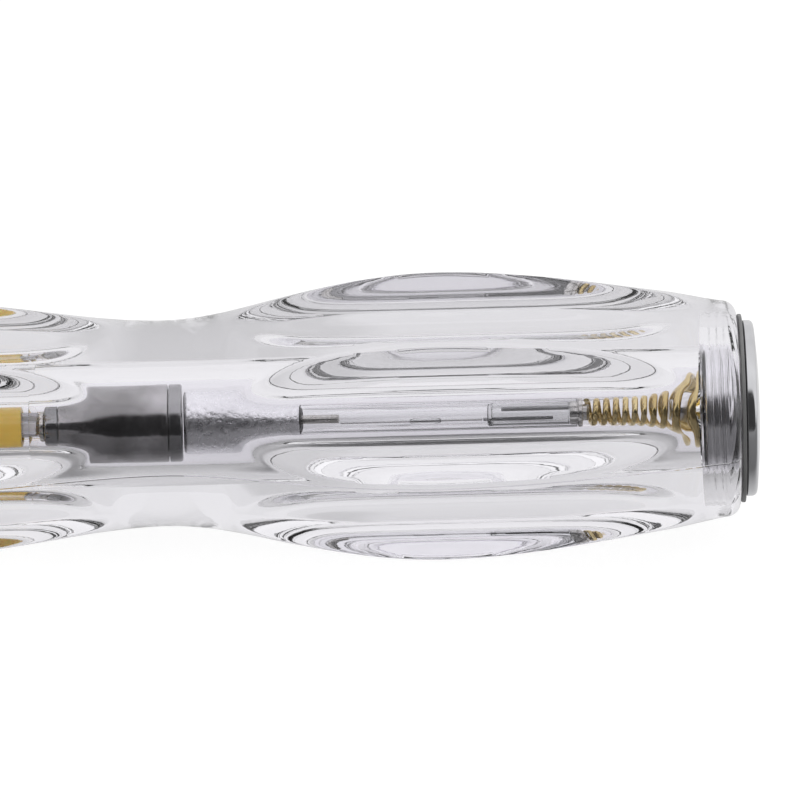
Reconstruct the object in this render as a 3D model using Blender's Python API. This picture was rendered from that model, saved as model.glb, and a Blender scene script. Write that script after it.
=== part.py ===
"""Voltage tester screwdriver: a clear fluted handle with a neon tester train on its axis.

The tool lies along X. Its blade tip is at the origin, its touch cap is at +X, and +Z is up.
Every length is in metres. Places inside the handle are measured forward from its tail end.
"""

import math

import bmesh
import bpy
from mathutils import Matrix, Vector

MM = 0.001

# Fits shared by the whole tool
TOUCH_GAP = 0.1 * MM
SLIDE_CLEARANCE = 0.1 * MM
LOOSE_CLEARANCE = 0.3 * MM
CUT_OVERRUN = 1.0 * MM
MERGE_DISTANCE = 0.001 * MM

# Facets round each kind of turned piece
HANDLE_SEGMENTS = 48
FLUTE_SEGMENTS = 56
METAL_SEGMENTS = 32
TRAIN_SEGMENTS = 24
WIRE_SEGMENTS = 10

# Handle: outline
EXPOSED_LENGTH = 100.0 * MM
HANDLE_LENGTH = 94.0 * MM
NOSE_RADIUS = 7.6 * MM
NOSE_ROUND = 1.6 * MM
FRONT_BULGE_RADIUS = 11.15 * MM
FRONT_BULGE_FROM_END = 71.5 * MM
NECK_RADIUS = 9.13 * MM
NECK_FROM_END = 50.8 * MM
WAIST_RISE_RADIUS = 10.37 * MM
WAIST_RISE_FROM_END = 42.4 * MM
WAIST_RISE_SLOPE_SHARE = 0.24
REAR_BULGE_RADIUS = 12.72 * MM
REAR_BULGE_FROM_END = 26.4 * MM
TAIL_RADIUS = 10.55 * MM
TAIL_FROM_END = 6.3 * MM
TAIL_SLOPE_SHARE = -0.15
TAIL_CORNER_RADIUS = 9.6 * MM
TAIL_ROUND = 1.3 * MM
NOSE_SLOPE_SHARE = 0.3
OUTLINE_STEPS = 7
ROUND_STEPS = 4

# Handle: flutes, which barrel-shaped cutters make, so that each is hollow in both directions
FLUTE_COUNT = 6
FLUTE_STEPS = 14
FLUTE_RUNOUT_SHARE = 1.12
FLUTE_END_POWER = 6
REAR_FLUTE_CUTTER_RADIUS = 8.0 * MM
REAR_FLUTE_FLOOR_RADIUS = 8.8 * MM
REAR_FLUTE_END_RISE = 1.5 * MM
REAR_FLUTE_LENGTH = 38.0 * MM
REAR_FLUTE_FROM_END = 24.4 * MM
FRONT_FLUTE_CUTTER_RADIUS = 9.0 * MM
FRONT_FLUTE_FLOOR_RADIUS = 8.25 * MM
FRONT_FLUTE_END_RISE = 1.35 * MM
FRONT_FLUTE_LENGTH = 30.4 * MM
FRONT_FLUTE_FROM_END = 71.5 * MM

# Handle: bores
COUNTERBORE_DEPTH = 3.8 * MM
REAR_BORE_DEPTH = 62.5 * MM

# Shank and its insulating sleeve
SHANK_DIAMETER = 5.0 * MM
BLADE_WIDTH = 6.0 * MM
BLADE_TIP_THICKNESS = 0.9 * MM
BLADE_LENGTH = 11.0 * MM
BLADE_FLAT_LENGTH = 2.5 * MM
BLADE_SQUARENESS_SHARE = 0.25
BLADE_RINGS = 7
SHANK_END_CHAMFER = 0.3 * MM
SLEEVE_DIAMETER = 7.0 * MM
SLEEVE_FROM_TIP = 14.0 * MM
SLEEVE_TAIL_SETBACK = 1.4 * MM
SLEEVE_LIP_ROUND = 0.4 * MM

# Contact washer between the shank and the resistor
WASHER_DIAMETER = 5.4 * MM
WASHER_THICKNESS = 0.45 * MM

# Resistor
RESISTOR_DIAMETER = 6.9 * MM
RESISTOR_LENGTH = 12.3 * MM
RESISTOR_CAP_DEPTH = 1.3 * MM
RESISTOR_CAP_WALL = 0.35 * MM
RESISTOR_CHAMFER = 0.25 * MM

# Contact cup between the resistor and the lamp
CUP_DIAMETER = 5.6 * MM
CUP_LENGTH = 9.7 * MM
CUP_SOCKET_DEPTH = 3.2 * MM
CUP_ROUND = 0.5 * MM

# Neon lamp
LAMP_DIAMETER = 5.2 * MM
LAMP_LENGTH = 27.7 * MM
LAMP_WALL = 0.35 * MM
LAMP_SEAT_DEPTH = 2.9 * MM
LAMP_CAP_THICKNESS = 0.4 * MM
LAMP_CAP_SPIGOT_LENGTH = 0.8 * MM
LAMP_CAP_BUTTON_DIAMETER = 3.0 * MM
LAMP_CAP_BUTTON_HEIGHT = 0.6 * MM
PIN_DIAMETER = 1.6 * MM
PIN_LENGTH = 3.6 * MM
ELECTRODE_TUBE_DIAMETER = 4.1 * MM
ELECTRODE_TUBE_LENGTH = 7.2 * MM
ELECTRODE_TUBE_WALL = 0.35 * MM
ELECTRODE_DIAMETER = 0.7 * MM
ELECTRODE_LENGTH = 6.0 * MM
ELECTRODE_OFFSET = 1.0 * MM
LEAD_DIAMETER = 0.4 * MM
BEAD_DIAMETER = 1.3 * MM
BEAD_LENGTH = 2.7 * MM
BEAD_FROM_TUBE = 4.2 * MM
LEAD_OFFSET = 1.0 * MM

# Contact spring, which widens towards the plug
SPRING_FRONT_DIAMETER = 5.0 * MM
SPRING_REAR_DIAMETER = 7.0 * MM
SPRING_WIRE_DIAMETER = 0.48 * MM
SPRING_LENGTH = 9.9 * MM
SPRING_TURNS = 10
SPRING_POINTS_PER_TURN = 10
SPRING_BEVEL_RESOLUTION = 1

# Tail cap: threaded plug, washer and touch cap
PLUG_DIAMETER = 11.2 * MM
PLUG_LENGTH = 4.1 * MM
PLUG_CHAMFER = 0.4 * MM
PLUG_SPIGOT_DIAMETER = 3.4 * MM
PLUG_SPIGOT_LENGTH = 1.8 * MM
PLUG_BOSS_DIAMETER = 6.0 * MM
PLUG_BOSS_LENGTH = 0.5 * MM
SEAL_DIAMETER = 16.7 * MM
SEAL_THICKNESS = 0.35 * MM
CAP_DIAMETER = 15.6 * MM
CAP_THICKNESS = 1.25 * MM
CAP_CROWN = 0.35 * MM
CAP_FLAT_DIAMETER = 8.0 * MM
CAP_RIM_ROUND = 0.5 * MM

# Places that follow from the sizes above
HANDLE_END = EXPOSED_LENGTH + HANDLE_LENGTH
BORE_RADIUS = RESISTOR_DIAMETER / 2 + LOOSE_CLEARANCE
SOCKET_RADIUS = SLEEVE_DIAMETER / 2 + SLIDE_CLEARANCE
COUNTERBORE_RADIUS = PLUG_DIAMETER / 2 + 2 * SLIDE_CLEARANCE
SEAL_START = HANDLE_END + TOUCH_GAP
CAP_START = SEAL_START + SEAL_THICKNESS + TOUCH_GAP
PLUG_FRONT = CAP_START - TOUCH_GAP - PLUG_LENGTH
SPRING_REAR = PLUG_FRONT - TOUCH_GAP
SPRING_FRONT = SPRING_REAR - SPRING_LENGTH
LAMP_REAR_FACE = SPRING_FRONT - TOUCH_GAP
LAMP_GLASS_REAR = LAMP_REAR_FACE - LAMP_CAP_THICKNESS - TOUCH_GAP
LAMP_FRONT = LAMP_GLASS_REAR - LAMP_LENGTH
CUP_REAR = LAMP_FRONT + LAMP_SEAT_DEPTH
CUP_FRONT = CUP_REAR - CUP_LENGTH
RESISTOR_REAR = CUP_FRONT - TOUCH_GAP
RESISTOR_FRONT = RESISTOR_REAR - RESISTOR_LENGTH
WASHER_REAR = RESISTOR_FRONT - TOUCH_GAP
WASHER_FRONT = WASHER_REAR - WASHER_THICKNESS
SHANK_REAR = WASHER_FRONT - TOUCH_GAP
SLEEVE_REAR = SHANK_REAR - SLEEVE_TAIL_SETBACK


def clear_scene():
    """Remove every object that the file holds."""
    for item in list(bpy.data.objects):
        bpy.data.objects.remove(item)


def finish(name, colour, roughness, metallic=0.0, transmission=0.0, ior=1.5):
    """Return a Principled material."""
    material = bpy.data.materials.new(name)
    material.use_nodes = True
    shader = material.node_tree.nodes["Principled BSDF"]
    shader.inputs["Base Color"].default_value = (*colour, 1.0)
    shader.inputs["Roughness"].default_value = roughness
    shader.inputs["Metallic"].default_value = metallic
    shader.inputs["Transmission Weight"].default_value = transmission
    shader.inputs["IOR"].default_value = ior
    return material


def place(name, mesh_data, material):
    """Link a finished mesh to the scene under its piece's name."""
    piece = bpy.data.objects.new(name, mesh_data)
    bpy.context.collection.objects.link(piece)
    if material is not None:
        mesh_data.materials.append(material)
    mesh_data.shade_smooth()
    mesh_data.set_sharp_from_angle(angle=math.radians(35))
    return piece


def mesh_from(name, builder):
    """Turn a bmesh into mesh data with merged points and outward faces."""
    bmesh.ops.remove_doubles(builder, verts=builder.verts, dist=MERGE_DISTANCE)
    bmesh.ops.recalc_face_normals(builder, faces=builder.faces)
    mesh_data = bpy.data.meshes.new(name)
    builder.to_mesh(mesh_data)
    builder.free()
    return mesh_data


def spin_outline(builder, outline, segments, offset=(0, 0)):
    """Turn an outline of (x, radius) points round an axis parallel to X."""
    shift = Vector((0, offset[0], offset[1]))
    points = [builder.verts.new(Vector((x, 0, radius)) + shift) for x, radius in outline]
    edges = [builder.edges.new(pair) for pair in zip(points, points[1:])]
    if outline[0][1] > 0:
        edges.append(builder.edges.new((points[-1], points[0])))
    bmesh.ops.spin(
        builder,
        geom=points + edges,
        cent=shift,
        axis=(1, 0, 0),
        angle=2 * math.pi,
        steps=segments,
        use_merge=True,
    )


def turned(name, outline, segments, material, offset=(0, 0)):
    """Make a turned piece from one outline."""
    builder = bmesh.new()
    spin_outline(builder, outline, segments, offset)
    return place(name, mesh_from(name, builder), material)


def cut(piece, cutter):
    """Subtract a cutter from a piece and keep the cutter out of the model."""
    cutter.hide_render = True
    cutter.display_type = "WIRE"
    modifier = piece.modifiers.new("cut_" + cutter.name, "BOOLEAN")
    modifier.operation = "DIFFERENCE"
    modifier.object = cutter


def arc(centre, radius, start, end, steps):
    """Return points of an arc in the (x, radius) plane, with angles from +x in radians."""
    points = []
    for step in range(steps + 1):
        angle = start + (end - start) * step / steps
        points.append((centre[0] + radius * math.cos(angle), centre[1] + radius * math.sin(angle)))
    return points


def blend(start, end, steps):
    """Return points of a cubic between two stations, each (x, radius, slope)."""
    x_start, radius_start, slope_start = start
    x_end, radius_end, slope_end = end
    span = x_end - x_start
    points = []
    for step in range(1, steps + 1):
        t = step / steps
        radius = (
            (2 * t**3 - 3 * t**2 + 1) * radius_start
            + (t**3 - 2 * t**2 + t) * span * slope_start
            + (3 * t**2 - 2 * t**3) * radius_end
            + (t**3 - t**2) * span * slope_end
        )
        points.append((x_start + span * t, radius))
    return points


def handle_outline():
    """Return the handle's outer outline, from the nose to the tail end."""
    nose_arc_centre = (EXPOSED_LENGTH + NOSE_ROUND, NOSE_RADIUS - NOSE_ROUND)
    tail_arc_centre = (HANDLE_END - TAIL_ROUND, TAIL_CORNER_RADIUS - TAIL_ROUND)
    stations = [
        (nose_arc_centre[0], NOSE_RADIUS, NOSE_SLOPE_SHARE),
        (HANDLE_END - FRONT_BULGE_FROM_END, FRONT_BULGE_RADIUS, 0),
        (HANDLE_END - NECK_FROM_END, NECK_RADIUS, 0),
        (HANDLE_END - WAIST_RISE_FROM_END, WAIST_RISE_RADIUS, WAIST_RISE_SLOPE_SHARE),
        (HANDLE_END - REAR_BULGE_FROM_END, REAR_BULGE_RADIUS, 0),
        (HANDLE_END - TAIL_FROM_END, TAIL_RADIUS, TAIL_SLOPE_SHARE),
        (tail_arc_centre[0], TAIL_CORNER_RADIUS, TAIL_SLOPE_SHARE),
    ]
    outline = [(EXPOSED_LENGTH, 0)]
    outline += arc(nose_arc_centre, NOSE_ROUND, math.pi, math.pi / 2, ROUND_STEPS)
    for start, end in zip(stations, stations[1:]):
        outline += blend(start, end, OUTLINE_STEPS)
    outline += arc(tail_arc_centre, TAIL_ROUND, math.pi / 2, 0, ROUND_STEPS)[1:]
    outline.append((HANDLE_END, 0))
    return outline


def barrel_outline(middle, length, radius, end_rise):
    """Return the outline of a barrel-shaped cutter, which gets slimmer towards its ends."""
    reach = FLUTE_RUNOUT_SHARE * length / 2
    outline = [(middle - reach, 0)]
    for step in range(FLUTE_STEPS + 1):
        share = FLUTE_RUNOUT_SHARE * (2 * step / FLUTE_STEPS - 1)
        outline.append((middle + share * length / 2, radius - end_rise * share**FLUTE_END_POWER))
    outline.append((middle + reach, 0))
    return outline


def flute_cutter(first):
    """Return every second cutter of both rows of flutes as one guide object."""
    rows = [
        (
            FRONT_FLUTE_FROM_END,
            FRONT_FLUTE_LENGTH,
            FRONT_FLUTE_CUTTER_RADIUS,
            FRONT_FLUTE_FLOOR_RADIUS,
            FRONT_FLUTE_END_RISE,
        ),
        (
            REAR_FLUTE_FROM_END,
            REAR_FLUTE_LENGTH,
            REAR_FLUTE_CUTTER_RADIUS,
            REAR_FLUTE_FLOOR_RADIUS,
            REAR_FLUTE_END_RISE,
        ),
    ]
    name = f"flute_cutter_{first}"
    builder = bmesh.new()
    for from_end, length, cutter_radius, floor_radius, end_rise in rows:
        outline = barrel_outline(HANDLE_END - from_end, length, cutter_radius, end_rise)
        distance = floor_radius + cutter_radius
        for number in range(first, FLUTE_COUNT, 2):
            angle = 2 * math.pi * number / FLUTE_COUNT
            offset = (distance * math.sin(angle), distance * math.cos(angle))
            spin_outline(builder, outline, FLUTE_SEGMENTS, offset)
    return place(name, mesh_from(name, builder), None)


def bore_cutter():
    """Return the stepped bore as a guide object, open at the nose and at the tail."""
    step = HANDLE_END - REAR_BORE_DEPTH
    shoulder = HANDLE_END - COUNTERBORE_DEPTH
    outline = [
        (EXPOSED_LENGTH - CUT_OVERRUN, 0),
        (EXPOSED_LENGTH - CUT_OVERRUN, SOCKET_RADIUS),
        (step, SOCKET_RADIUS),
        (step, BORE_RADIUS),
        (shoulder, BORE_RADIUS),
        (shoulder, COUNTERBORE_RADIUS),
        (HANDLE_END + CUT_OVERRUN, COUNTERBORE_RADIUS),
        (HANDLE_END + CUT_OVERRUN, 0),
    ]
    builder = bmesh.new()
    spin_outline(builder, outline, HANDLE_SEGMENTS)
    return place("bore_cutter", mesh_from("bore_cutter", builder), None)


def make_handle():
    """Make the clear moulded handle: two bulges with flutes, a neck and a stepped bore."""
    clear = finish("clear_acetate", (0.93, 0.92, 0.94), 0.05, transmission=1.0)
    handle = turned("handle", handle_outline(), HANDLE_SEGMENTS, clear)
    cut(handle, flute_cutter(0))
    cut(handle, flute_cutter(1))
    cut(handle, bore_cutter())


def shank_ring(builder, x, half_width, half_thickness, power):
    """Add one closed ring of the shank, from a round (power 1) to a squared one (power near 0)."""
    ring = []
    for number in range(METAL_SEGMENTS):
        angle = 2 * math.pi * number / METAL_SEGMENTS
        across = math.cos(angle)
        up = math.sin(angle)
        y = half_width * math.copysign(abs(across) ** power, across)
        z = half_thickness * math.copysign(abs(up) ** power, up)
        ring.append(builder.verts.new((x, y, z)))
    return ring


def make_shank():
    """Make the steel shank: a forged, ground flat blade that swells into a round rod."""
    radius = SHANK_DIAMETER / 2
    builder = bmesh.new()
    rings = [shank_ring(builder, 0, BLADE_WIDTH / 2, BLADE_TIP_THICKNESS / 2, BLADE_SQUARENESS_SHARE)]
    for number in range(BLADE_RINGS + 1):
        share = number / BLADE_RINGS
        eased = share * share * (3 - 2 * share)
        x = BLADE_FLAT_LENGTH + (BLADE_LENGTH - BLADE_FLAT_LENGTH) * share
        half_width = BLADE_WIDTH / 2 + (radius - BLADE_WIDTH / 2) * eased
        half_thickness = BLADE_TIP_THICKNESS / 2 * x / BLADE_FLAT_LENGTH
        half_thickness += (radius - half_thickness) * eased
        power = BLADE_SQUARENESS_SHARE + (1 - BLADE_SQUARENESS_SHARE) * eased
        rings.append(shank_ring(builder, x, half_width, min(half_thickness, radius), power))
    rings.append(shank_ring(builder, SHANK_REAR - SHANK_END_CHAMFER, radius, radius, 1))
    tail_radius = radius - SHANK_END_CHAMFER
    rings.append(shank_ring(builder, SHANK_REAR, tail_radius, tail_radius, 1))
    for ring, following in zip(rings, rings[1:]):
        for number in range(METAL_SEGMENTS):
            neighbour = (number + 1) % METAL_SEGMENTS
            builder.faces.new((ring[number], ring[neighbour], following[neighbour], following[number]))
    builder.faces.new(rings[0])
    builder.faces.new(rings[-1])
    steel = finish("blade_steel", (0.62, 0.62, 0.64), 0.3, metallic=1.0)
    place("shank", mesh_from("shank", builder), steel)


def make_shank_sleeve():
    """Make the insulating sleeve, which runs from behind the blade into the handle."""
    outer = SLEEVE_DIAMETER / 2
    inner = SHANK_DIAMETER / 2 + SLIDE_CLEARANCE
    outline = [
        (SLEEVE_FROM_TIP, inner),
        (SLEEVE_FROM_TIP, outer - SLEEVE_LIP_ROUND),
        (SLEEVE_FROM_TIP + SLEEVE_LIP_ROUND, outer),
        (SLEEVE_REAR, outer),
        (SLEEVE_REAR, inner),
    ]
    yellow = finish("yellow_insulation", (0.85, 0.55, 0.08), 0.45)
    turned("shank_sleeve", outline, METAL_SEGMENTS, yellow)


def make_contact_washer():
    """Make the washer between the shank's end and the resistor."""
    radius = WASHER_DIAMETER / 2
    outline = [(WASHER_FRONT, 0), (WASHER_FRONT, radius), (WASHER_REAR, radius), (WASHER_REAR, 0)]
    nickel = finish("nickel_plate", (0.7, 0.69, 0.66), 0.3, metallic=1.0)
    turned("contact_washer", outline, TRAIN_SEGMENTS, nickel)


def make_resistor():
    """Make the resistor: a carbon rod with a pressed metal cap over each end."""
    radius = RESISTOR_DIAMETER / 2
    seat_radius = radius - RESISTOR_CAP_WALL - TOUCH_GAP
    rod_front = RESISTOR_FRONT + RESISTOR_CAP_WALL + TOUCH_GAP
    rod_rear = RESISTOR_REAR - RESISTOR_CAP_WALL - TOUCH_GAP
    shoulder_front = RESISTOR_FRONT + RESISTOR_CAP_DEPTH + TOUCH_GAP
    shoulder_rear = RESISTOR_REAR - RESISTOR_CAP_DEPTH - TOUCH_GAP
    rod = [
        (rod_front, 0),
        (rod_front, seat_radius),
        (shoulder_front, seat_radius),
        (shoulder_front, radius),
        (shoulder_rear, radius),
        (shoulder_rear, seat_radius),
        (rod_rear, seat_radius),
        (rod_rear, 0),
    ]
    carbon = finish("carbon_black", (0.018, 0.018, 0.02), 0.35)
    turned("resistor_body", rod, TRAIN_SEGMENTS, carbon)

    cap_metal = finish("cap_metal", (0.12, 0.12, 0.12), 0.35, metallic=1.0)
    inner = radius - RESISTOR_CAP_WALL
    for name, face, inward in (
        ("resistor_front_cap", RESISTOR_FRONT, 1),
        ("resistor_rear_cap", RESISTOR_REAR, -1),
    ):
        cap = [
            (face, 0),
            (face, radius - RESISTOR_CHAMFER),
            (face + inward * RESISTOR_CHAMFER, radius),
            (face + inward * RESISTOR_CAP_DEPTH, radius),
            (face + inward * RESISTOR_CAP_DEPTH, inner),
            (face + inward * RESISTOR_CAP_WALL, inner),
            (face + inward * RESISTOR_CAP_WALL, 0),
        ]
        turned(name, cap, TRAIN_SEGMENTS, cap_metal)


def make_contact_cup():
    """Make the plain metal cup that takes the lamp's front end."""
    radius = CUP_DIAMETER / 2
    inner = LAMP_DIAMETER / 2 + SLIDE_CLEARANCE
    socket_floor = CUP_REAR - CUP_SOCKET_DEPTH
    outline = [(CUP_FRONT, 0)]
    outline += arc((CUP_FRONT + CUP_ROUND, radius - CUP_ROUND), CUP_ROUND, math.pi, math.pi / 2, 3)
    outline += [(CUP_REAR, radius), (CUP_REAR, inner), (socket_floor, inner), (socket_floor, 0)]
    silver = finish("frosted_aluminium", (0.66, 0.66, 0.67), 0.5, metallic=1.0)
    turned("contact_cup", outline, TRAIN_SEGMENTS, silver)


def make_lamp():
    """Make the neon lamp: envelope, end contacts, inner tube, electrodes, lead and bead."""
    glass = finish("lamp_glass", (0.97, 0.97, 0.97), 0.02, transmission=1.0)
    nickel = finish("lamp_nickel", (0.7, 0.69, 0.66), 0.3, metallic=1.0)
    outer = LAMP_DIAMETER / 2
    inner = outer - LAMP_WALL
    pin_radius = PIN_DIAMETER / 2
    pin_hole = pin_radius + SLIDE_CLEARANCE
    envelope = [
        (LAMP_FRONT, pin_hole),
        (LAMP_FRONT, outer - LAMP_WALL),
        (LAMP_FRONT + LAMP_WALL, outer),
        (LAMP_GLASS_REAR, outer),
        (LAMP_GLASS_REAR, inner),
        (LAMP_FRONT + LAMP_WALL, inner),
        (LAMP_FRONT + LAMP_WALL, pin_hole),
    ]
    turned("lamp_envelope", envelope, TRAIN_SEGMENTS, glass)

    pin_front = LAMP_FRONT - TOUCH_GAP
    pin_rear = CUP_REAR + PIN_LENGTH
    pin = [(pin_front, 0), (pin_front, pin_radius), (pin_rear, pin_radius), (pin_rear, 0)]
    turned("lamp_front_pin", pin, TRAIN_SEGMENTS, nickel)

    cap_front = LAMP_REAR_FACE - LAMP_CAP_THICKNESS
    spigot_front = cap_front - LAMP_CAP_SPIGOT_LENGTH
    spigot_radius = inner - SLIDE_CLEARANCE
    button_radius = LAMP_CAP_BUTTON_DIAMETER / 2
    cap = [
        (spigot_front, 0),
        (spigot_front, spigot_radius),
        (cap_front, spigot_radius),
        (cap_front, outer),
        (LAMP_REAR_FACE, outer),
        (LAMP_REAR_FACE, button_radius),
        (LAMP_REAR_FACE + LAMP_CAP_BUTTON_HEIGHT, button_radius),
        (LAMP_REAR_FACE + LAMP_CAP_BUTTON_HEIGHT, 0),
    ]
    turned("lamp_rear_cap", cap, TRAIN_SEGMENTS, nickel)

    tube_outer = ELECTRODE_TUBE_DIAMETER / 2
    tube_inner = tube_outer - ELECTRODE_TUBE_WALL
    tube_rear = spigot_front - TOUCH_GAP
    tube_front = tube_rear - ELECTRODE_TUBE_LENGTH
    wall_rear = tube_front + ELECTRODE_TUBE_WALL
    tube = [
        (tube_front, 0),
        (tube_front, tube_outer),
        (tube_rear, tube_outer),
        (tube_rear, tube_inner),
        (wall_rear, tube_inner),
        (wall_rear, 0),
    ]
    electrode_tube = turned("electrode_tube", tube, TRAIN_SEGMENTS, glass)
    electrode_radius = ELECTRODE_DIAMETER / 2
    hole_radius = electrode_radius + SLIDE_CLEARANCE
    hole = [
        (tube_front - CUT_OVERRUN, 0),
        (tube_front - CUT_OVERRUN, hole_radius),
        (wall_rear + CUT_OVERRUN, hole_radius),
        (wall_rear + CUT_OVERRUN, 0),
    ]
    cut(electrode_tube, turned("lead_hole_cutter", hole, WIRE_SEGMENTS, None, (0, -ELECTRODE_OFFSET)))

    electrode_metal = finish("electrode_metal", (0.16, 0.16, 0.17), 0.4, metallic=1.0)
    reach = ELECTRODE_TUBE_WALL + TOUCH_GAP
    lower_front = tube_front - reach
    upper_rear = tube_rear
    for name, front, side in (
        ("front_electrode", lower_front, -1),
        ("rear_electrode", upper_rear - ELECTRODE_LENGTH, 1),
    ):
        rear = front + ELECTRODE_LENGTH
        rod = [(front, 0), (front, electrode_radius), (rear, electrode_radius), (rear, 0)]
        turned(name, rod, WIRE_SEGMENTS, electrode_metal, (0, side * ELECTRODE_OFFSET))

    lead_radius = LEAD_DIAMETER / 2
    bead_radius = BEAD_DIAMETER / 2
    bead_rear = tube_front - BEAD_FROM_TUBE
    bead_front = bead_rear - BEAD_LENGTH
    lead_offset = (0, -LEAD_OFFSET)
    lead_front = pin_rear + TOUCH_GAP
    lead_rear = lower_front - TOUCH_GAP
    lead = [(lead_front, 0), (lead_front, lead_radius), (lead_rear, lead_radius), (lead_rear, 0)]
    turned("lamp_lead", lead, WIRE_SEGMENTS, nickel, lead_offset)
    bead_hole = lead_radius + SLIDE_CLEARANCE
    middle = (bead_front + bead_rear) / 2
    bead = [(bead_rear, bead_hole), (bead_front, bead_hole)]
    for step in range(1, WIRE_SEGMENTS):
        angle = math.pi * (1 - step / WIRE_SEGMENTS)
        swell = bead_hole + (bead_radius - bead_hole) * math.sin(angle)
        bead.append((middle + BEAD_LENGTH / 2 * math.cos(angle), swell))
    turned("lead_bead", bead, WIRE_SEGMENTS, glass, lead_offset)


def helix_points(front, length, front_radius, rear_radius, turns, points_per_turn):
    """Return the points of a helix round X that widens towards its rear, starting on +Z."""
    count = turns * points_per_turn
    points = []
    for step in range(count + 1):
        angle = 2 * math.pi * step / points_per_turn
        share = step / count
        x = front + length * share
        radius = front_radius + (rear_radius - front_radius) * share * share
        points.append(Vector((x, radius * math.sin(angle), radius * math.cos(angle))))
    return points


def least_self_gap(points, points_per_turn, wire_diameter):
    """Return the least gap between the wire's surfaces on neighbouring turns."""
    half_turn = points_per_turn // 2
    least = min(
        (later - point).length
        for index, point in enumerate(points)
        for later in points[index + half_turn :]
    )
    return least - wire_diameter


def make_contact_spring():
    """Make the coil spring that presses the lamp and the resistor on to the shank."""
    wire_radius = SPRING_WIRE_DIAMETER / 2
    points = helix_points(
        SPRING_FRONT + wire_radius,
        SPRING_LENGTH - SPRING_WIRE_DIAMETER,
        SPRING_FRONT_DIAMETER / 2 - wire_radius,
        SPRING_REAR_DIAMETER / 2 - wire_radius,
        SPRING_TURNS,
        SPRING_POINTS_PER_TURN,
    )
    gap = least_self_gap(points, SPRING_POINTS_PER_TURN, SPRING_WIRE_DIAMETER)
    print(f"contact_spring: least gap to itself {gap / MM:.3f} mm")
    curve = bpy.data.curves.new("contact_spring", "CURVE")
    curve.dimensions = "3D"
    curve.bevel_depth = wire_radius
    curve.bevel_resolution = SPRING_BEVEL_RESOLUTION
    curve.use_fill_caps = True
    spline = curve.splines.new("POLY")
    spline.points.add(len(points) - 1)
    for target, point in zip(spline.points, points):
        target.co = (*point, 1)
    curve.materials.append(finish("spring_brass", (0.72, 0.5, 0.2), 0.3, metallic=1.0))
    bpy.context.collection.objects.link(bpy.data.objects.new("contact_spring", curve))


def make_tail_cap():
    """Make the tail cap: the plug that screws into the handle, its washer and the touch cap."""
    plug_radius = PLUG_DIAMETER / 2
    spigot_radius = PLUG_SPIGOT_DIAMETER / 2
    boss_radius = PLUG_BOSS_DIAMETER / 2
    plug_rear = PLUG_FRONT + PLUG_LENGTH
    boss_rear = CAP_START + PLUG_BOSS_LENGTH
    plug = [
        (PLUG_FRONT - PLUG_SPIGOT_LENGTH, 0),
        (PLUG_FRONT - PLUG_SPIGOT_LENGTH, spigot_radius),
        (PLUG_FRONT, spigot_radius),
        (PLUG_FRONT, plug_radius - PLUG_CHAMFER),
        (PLUG_FRONT + PLUG_CHAMFER, plug_radius),
        (plug_rear, plug_radius),
        (plug_rear, boss_radius),
        (boss_rear, boss_radius),
        (boss_rear, 0),
    ]
    chrome = finish("tail_plug_metal", (0.56, 0.56, 0.57), 0.25, metallic=1.0)
    turned("tail_plug", plug, METAL_SEGMENTS, chrome)

    seal_inner = COUNTERBORE_RADIUS
    seal_outer = SEAL_DIAMETER / 2
    seal_rear = SEAL_START + SEAL_THICKNESS
    seal = [(SEAL_START, seal_inner), (SEAL_START, seal_outer), (seal_rear, seal_outer), (seal_rear, seal_inner)]
    grey = finish("washer_grey", (0.3, 0.3, 0.3), 0.5)
    turned("seal_washer", seal, METAL_SEGMENTS, grey)

    cap_radius = CAP_DIAMETER / 2
    flat_radius = CAP_FLAT_DIAMETER / 2
    pocket_radius = boss_radius + SLIDE_CLEARANCE
    pocket_floor = boss_rear + TOUCH_GAP
    cap_rear = CAP_START + CAP_THICKNESS
    rim_centre = (cap_rear - CAP_CROWN - CAP_RIM_ROUND, cap_radius - CAP_RIM_ROUND)
    cap = [(pocket_floor, 0), (pocket_floor, pocket_radius), (CAP_START, pocket_radius), (CAP_START, cap_radius)]
    cap += arc(rim_centre, CAP_RIM_ROUND, math.pi / 2, 0, ROUND_STEPS)
    cap += [(cap_rear, flat_radius), (cap_rear, 0)]
    turned("touch_cap", cap, METAL_SEGMENTS, finish("touch_cap_chrome", (0.6, 0.6, 0.61), 0.2, metallic=1.0))


def main():
    """Build the tool from its tip to its touch cap."""
    clear_scene()
    make_shank()
    make_shank_sleeve()
    make_handle()
    make_contact_washer()
    make_resistor()
    make_contact_cup()
    make_lamp()
    make_contact_spring()
    make_tail_cap()


main()
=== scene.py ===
"""Voltage tester screwdriver: dresses the CAD frame with finished pieces, a pale floor and soft light.

Every length in the classes is in millimetres, along the tool's axis from the blade tip at zero, as in
the CAD. A mesh is made in metres with its place in its own vertices.
"""

from __future__ import annotations

import logging
import math
from collections.abc import Callable
from dataclasses import dataclass
from enum import Enum

import bmesh
import bpy
from mathutils import Matrix, Vector

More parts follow.
